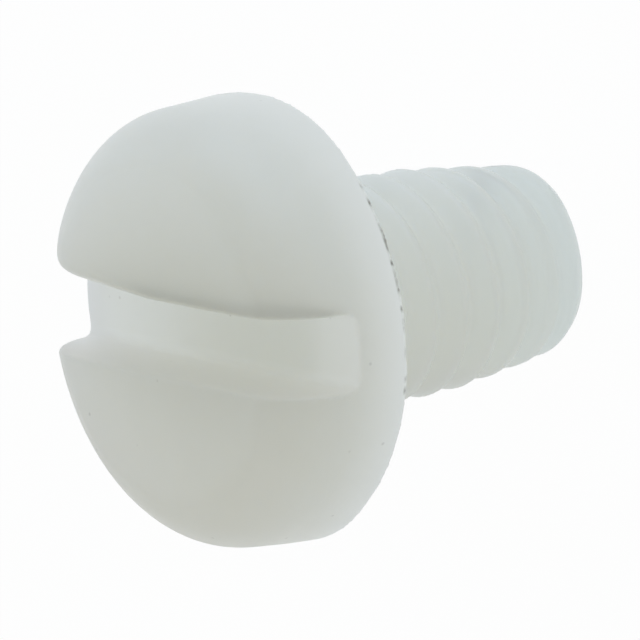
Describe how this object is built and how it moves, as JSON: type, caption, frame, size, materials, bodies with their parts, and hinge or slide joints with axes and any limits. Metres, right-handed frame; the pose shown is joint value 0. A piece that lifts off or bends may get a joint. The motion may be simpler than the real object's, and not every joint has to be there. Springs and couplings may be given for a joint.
{
  "type": "slotted pan head screw",
  "caption": "One-piece moulded natural polyamide machine screw: pan head with a straight driver slot, short plain neck, coarse right-hand metric thread and a tapered flat-ended tip.",
  "frame": {"origin": "centre of the bearing face under the head", "axes": "+Z along the screw's axis from the tip to the head; the driver slot runs along X"},
  "size_m": [0.0078, 0.0078, 0.0083],
  "materials": {
    "natural_polyamide": "satin, milky, slightly translucent"
  },
  "bodies": {
    "root": {"screw": "natural_polyamide"}
  },
  "joints": []
}
